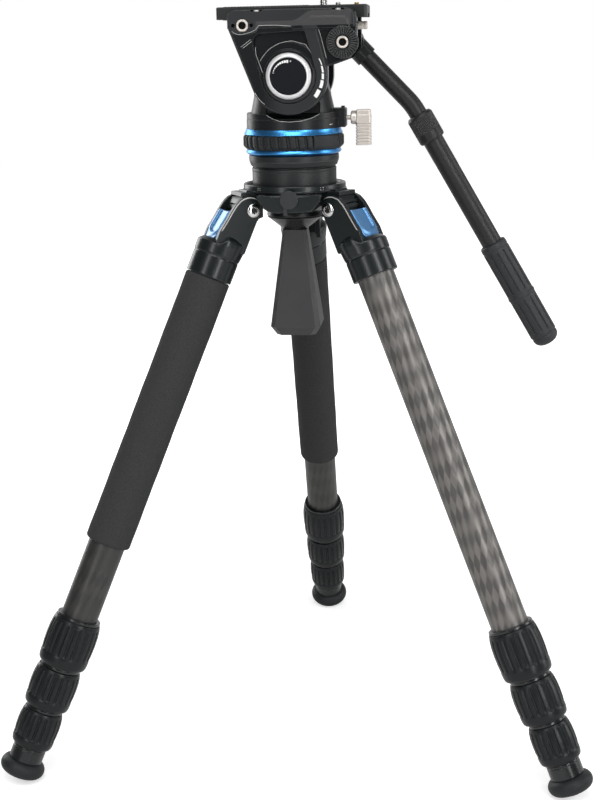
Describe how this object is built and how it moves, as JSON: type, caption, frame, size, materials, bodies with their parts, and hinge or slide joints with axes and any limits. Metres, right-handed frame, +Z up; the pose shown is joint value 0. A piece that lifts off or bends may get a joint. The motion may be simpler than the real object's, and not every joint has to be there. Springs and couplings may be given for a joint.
{
  "type": "video tripod with fluid head",
  "caption": "Carbon-fibre video tripod with telescoping twist-lock legs, a levelling bowl, a fluid pan and tilt head, a sliding camera plate and a pan handle.",
  "frame": {"origin": "point on the floor under the pan axis, at the centre of the three feet", "axes": "+Z up the pan axis; the camera looks towards -X; +Y towards the rear leg and the pan handle's side"},
  "size_m": [0.5096, 0.4465, 0.6559],
  "materials": {
    "black_anodised": "satin black anodised",
    "blue_anodised": "bright blue anodised",
    "satin_silver": "satin silver",
    "steel": "bright steel",
    "carbon_fibre": "clear-coated carbon fibre laminate",
    "black_rubber": "matte moulded rubber",
    "foam": "closed-cell foam",
    "black_plastic": "fine-grained black plastic"
  },
  "bodies": {
    "spider": {"spider": "black_anodised", "port_plug": "black_rubber", "leg_pivot_bolts": "steel"},
    "leg_left": {"shoulder_left": "black_anodised", "tube_1_left": "carbon_fibre", "foam_grip_left": "foam"},
    "angle_stop_left": {"angle_tab_left": "blue_anodised"},
    "section_2_left": {"tube_2_left": "carbon_fibre"},
    "section_3_left": {"tube_3_left": "carbon_fibre"},
    "section_4_left": {"tube_4_left": "carbon_fibre", "foot_left": "black_rubber"},
    "twist_lock_1_left": {"twist_collar_1_left": "black_rubber"},
    "twist_lock_2_left": {"twist_collar_2_left": "black_rubber"},
    "twist_lock_3_left": {"twist_collar_3_left": "black_rubber"},
    "leg_right": {"shoulder_right": "black_anodised", "tube_1_right": "carbon_fibre"},
    "angle_stop_right": {"angle_tab_right": "blue_anodised"},
    "section_2_right": {"tube_2_right": "carbon_fibre"},
    "section_3_right": {"tube_3_right": "carbon_fibre"},
    "section_4_right": {"tube_4_right": "carbon_fibre", "foot_right": "black_rubber"},
    "twist_lock_1_right": {"twist_collar_1_right": "black_rubber"},
    "twist_lock_2_right": {"twist_collar_2_right": "black_rubber"},
    "twist_lock_3_right": {"twist_collar_3_right": "black_rubber"},
    "leg_rear": {"shoulder_rear": "black_anodised", "tube_1_rear": "carbon_fibre", "foam_grip_rear": "foam"},
    "angle_stop_rear": {"angle_tab_rear": "blue_anodised"},
    "section_2_rear": {"tube_2_rear": "carbon_fibre"},
    "section_3_rear": {"tube_3_rear": "carbon_fibre"},
    "section_4_rear": {"tube_4_rear": "carbon_fibre", "foot_rear": "black_rubber"},
    "twist_lock_1_rear": {"twist_collar_1_rear": "black_rubber"},
    "twist_lock_2_rear": {"twist_collar_2_rear": "black_rubber"},
    "twist_lock_3_rear": {"twist_collar_3_rear": "black_rubber"},
    "bowl_liner": {"bowl_liner": "black_plastic"},
    "half_ball": {"half_ball": "black_anodised", "clamp_cone": "black_anodised", "base_flange": "black_anodised"},
    "levelling_handle": {"levelling_handle": "black_plastic"},
    "lock_ring": {"lock_ring": "blue_anodised", "lock_ring_grip": "black_rubber"},
    "pan_base": {"pan_base": "black_anodised", "tilt_axle": "steel"},
    "pan_lock": {"pan_lock_lever": "satin_silver"},
    "tilt_cage": {"front_cheek": "black_anodised", "rear_cheek": "black_anodised", "plate_bed": "black_anodised", "thread_inserts": "steel"},
    "friction_dial": {"friction_dial": "satin_silver"},
    "tilt_lock": {"tilt_lock_lever": "black_plastic"},
    "plate": {"quick_release_plate": "black_anodised"},
    "camera_screw": {"camera_screw": "steel"},
    "release_button": {"plate_release_button": "steel"},
    "handle": {"handle_clamp": "black_anodised", "handle_upper_tube": "black_anodised"},
    "handle_knob": {"handle_clamp_knob": "black_plastic"},
    "handle_extension": {"handle_lower_tube": "black_anodised", "handle_grip": "black_rubber"},
    "handle_twist": {"handle_collar": "black_rubber"}
  },
  "joints": [
    {"name": "leg_spread_left", "type": "hinge", "parent": "spider", "child": "leg_left", "pos_m": [-0.03975, -0.02295, 0.48328], "axis": [-0.5, 0.866, 0], "range_deg": [-21.05, 55.45]},
    {"name": "angle_stop_pull_left", "type": "slide", "parent": "leg_left", "child": "angle_stop_left", "axis": [-0.7877, -0.4548, 0.4155], "range_m": [0, 0.005], "stiffness_N_per_m": 300, "springref_m": -0.002},
    {"name": "twist_lock_turn_1_left", "type": "hinge", "parent": "leg_left", "child": "twist_lock_1_left", "pos_m": [-0.19231, -0.11103, 0.12289], "axis": [-0.3598, -0.2077, -0.9096], "range_deg": [0, 90]},
    {"name": "section_slide_2_left", "type": "slide", "parent": "leg_left", "child": "section_2_left", "axis": [-0.3598, -0.2077, -0.9096], "range_m": [0, 0.3]},
    {"name": "twist_lock_turn_2_left", "type": "hinge", "parent": "section_2_left", "child": "twist_lock_2_left", "pos_m": [-0.20868, -0.12048, 0.0815], "axis": [-0.3598, -0.2077, -0.9096], "range_deg": [0, 90]},
    {"name": "section_slide_3_left", "type": "slide", "parent": "section_2_left", "child": "section_3_left", "axis": [-0.3598, -0.2077, -0.9096], "range_m": [0, 0.3]},
    {"name": "twist_lock_turn_3_left", "type": "hinge", "parent": "section_3_left", "child": "twist_lock_3_left", "pos_m": [-0.22282, -0.12865, 0.04576], "axis": [-0.3598, -0.2077, -0.9096], "range_deg": [0, 90]},
    {"name": "section_slide_4_left", "type": "slide", "parent": "section_3_left", "child": "section_4_left", "axis": [-0.3598, -0.2077, -0.9096], "range_m": [0, 0.3]},
    {"name": "leg_spread_right", "type": "hinge", "parent": "spider", "child": "leg_right", "pos_m": [0.03975, -0.02295, 0.48328], "axis": [-0.5, -0.866, 0], "range_deg": [-21.05, 55.45]},
    {"name": "angle_stop_pull_right", "type": "slide", "parent": "leg_right", "child": "angle_stop_right", "axis": [0.7877, -0.4548, 0.4155], "range_m": [0, 0.005], "stiffness_N_per_m": 300, "springref_m": -0.002},
    {"name": "twist_lock_turn_1_right", "type": "hinge", "parent": "leg_right", "child": "twist_lock_1_right", "pos_m": [0.19231, -0.11103, 0.12289], "axis": [0.3598, -0.2077, -0.9096], "range_deg": [0, 90]},
    {"name": "section_slide_2_right", "type": "slide", "parent": "leg_right", "child": "section_2_right", "axis": [0.3598, -0.2077, -0.9096], "range_m": [0, 0.3]},
    {"name": "twist_lock_turn_2_right", "type": "hinge", "parent": "section_2_right", "child": "twist_lock_2_right", "pos_m": [0.20868, -0.12048, 0.0815], "axis": [0.3598, -0.2077, -0.9096], "range_deg": [0, 90]},
    {"name": "section_slide_3_right", "type": "slide", "parent": "section_2_right", "child": "section_3_right", "axis": [0.3598, -0.2077, -0.9096], "range_m": [0, 0.3]},
    {"name": "twist_lock_turn_3_right", "type": "hinge", "parent": "section_3_right", "child": "twist_lock_3_right", "pos_m": [0.22282, -0.12865, 0.04576], "axis": [0.3598, -0.2077, -0.9096], "range_deg": [0, 90]},
    {"name": "section_slide_4_right", "type": "slide", "parent": "section_3_right", "child": "section_4_right", "axis": [0.3598, -0.2077, -0.9096], "range_m": [0, 0.3]},
    {"name": "leg_spread_rear", "type": "hinge", "parent": "spider", "child": "leg_rear", "pos_m": [0, 0.0459, 0.48328], "axis": [1, 0, 0], "range_deg": [-21.05, 55.45]},
    {"name": "angle_stop_pull_rear", "type": "slide", "parent": "leg_rear", "child": "angle_stop_rear", "axis": [0, 0.9096, 0.4155], "range_m": [0, 0.005], "stiffness_N_per_m": 300, "springref_m": -0.002},
    {"name": "twist_lock_turn_1_rear", "type": "hinge", "parent": "leg_rear", "child": "twist_lock_1_rear", "pos_m": [0, 0.22206, 0.12289], "axis": [0, 0.4155, -0.9096], "range_deg": [0, 90]},
    {"name": "section_slide_2_rear", "type": "slide", "parent": "leg_rear", "child": "section_2_rear", "axis": [0, 0.4155, -0.9096], "range_m": [0, 0.3]},
    {"name": "twist_lock_turn_2_rear", "type": "hinge", "parent": "section_2_rear", "child": "twist_lock_2_rear", "pos_m": [0, 0.24097, 0.0815], "axis": [0, 0.4155, -0.9096], "range_deg": [0, 90]},
    {"name": "section_slide_3_rear", "type": "slide", "parent": "section_2_rear", "child": "section_3_rear", "axis": [0, 0.4155, -0.9096], "range_m": [0, 0.3]},
    {"name": "twist_lock_turn_3_rear", "type": "hinge", "parent": "section_3_rear", "child": "twist_lock_3_rear", "pos_m": [0, 0.25729, 0.04576], "axis": [0, 0.4155, -0.9096], "range_deg": [0, 90]},
    {"name": "section_slide_4_rear", "type": "slide", "parent": "section_3_rear", "child": "section_4_rear", "axis": [0, 0.4155, -0.9096], "range_m": [0, 0.3]},
    {"name": "level_side", "type": "hinge", "parent": "spider", "child": "bowl_liner", "pos_m": [0, 0, 0.52858], "axis": [-1, 0, 0], "range_deg": [-7.5, 7.5]},
    {"name": "level_front", "type": "hinge", "parent": "bowl_liner", "child": "half_ball", "pos_m": [0, 0, 0.52858], "axis": [0, 1, 0], "range_deg": [-7.5, 7.5]},
    {"name": "levelling_handle_turn", "type": "hinge", "parent": "half_ball", "child": "levelling_handle", "pos_m": [0, 0, 0.42328], "axis": [0, 0, 1], "range_deg": [-180, 180]},
    {"name": "lock_ring_turn", "type": "hinge", "parent": "half_ball", "child": "lock_ring", "pos_m": [0, 0, 0.53628], "axis": [0, 0, 1], "range_deg": [0, 60]},
    {"name": "pan", "type": "hinge", "parent": "half_ball", "child": "pan_base", "pos_m": [0, 0, 0.54948], "axis": [0, 0, 1], "continuous": true},
    {"name": "pan_lock_turn", "type": "hinge", "parent": "pan_base", "child": "pan_lock", "pos_m": [0.0542, 0, 0.55788], "axis": [1, 0, 0], "range_deg": [-90, 90]},
    {"name": "tilt", "type": "hinge", "parent": "pan_base", "child": "tilt_cage", "pos_m": [0.001, 0, 0.59428], "axis": [0, -1, 0], "range_deg": [-45, 60]},
    {"name": "drag_dial_turn", "type": "hinge", "parent": "tilt_cage", "child": "friction_dial", "pos_m": [0.001, -0.0384, 0.59428], "axis": [0, 1, 0], "range_deg": [0, 270]},
    {"name": "tilt_lock_turn", "type": "hinge", "parent": "tilt_cage", "child": "tilt_lock", "pos_m": [-0.014, 0.0384, 0.57478], "axis": [0, 1, 0], "range_deg": [0, 80]},
    {"name": "plate_slide", "type": "slide", "parent": "tilt_cage", "child": "plate", "axis": [1, 0, 0], "range_m": [-0.018, 0.018]},
    {"name": "camera_screw_turn", "type": "hinge", "parent": "plate", "child": "camera_screw", "pos_m": [0.0278, 0, 0.65088], "axis": [0, 0, 1], "continuous": true},
    {"name": "release_button_push", "type": "slide", "parent": "tilt_cage", "child": "release_button", "axis": [-1, 0, 0], "range_m": [0, 0.0025], "stiffness_N_per_m": 400, "springref_m": -0.002},
    {"name": "handle_angle", "type": "hinge", "parent": "tilt_cage", "child": "handle", "pos_m": [0.046, 0.0482, 0.62078], "axis": [0, 1, 0], "range_deg": [-60, 25]},
    {"name": "handle_knob_turn", "type": "hinge", "parent": "handle", "child": "handle_knob", "pos_m": [0.046, 0.0482, 0.62078], "axis": [0, 1, 0], "range_deg": [0, 180]},
    {"name": "handle_extend", "type": "slide", "parent": "handle", "child": "handle_extension", "axis": [0.497, 0, -0.8678], "range_m": [0, 0.11]},
    {"name": "handle_lock_turn", "type": "hinge", "parent": "handle_extension", "child": "handle_twist", "pos_m": [0.1015, 0.0482, 0.56528], "axis": [0.497, 0, -0.8678], "range_deg": [0, 90]}
  ]
}
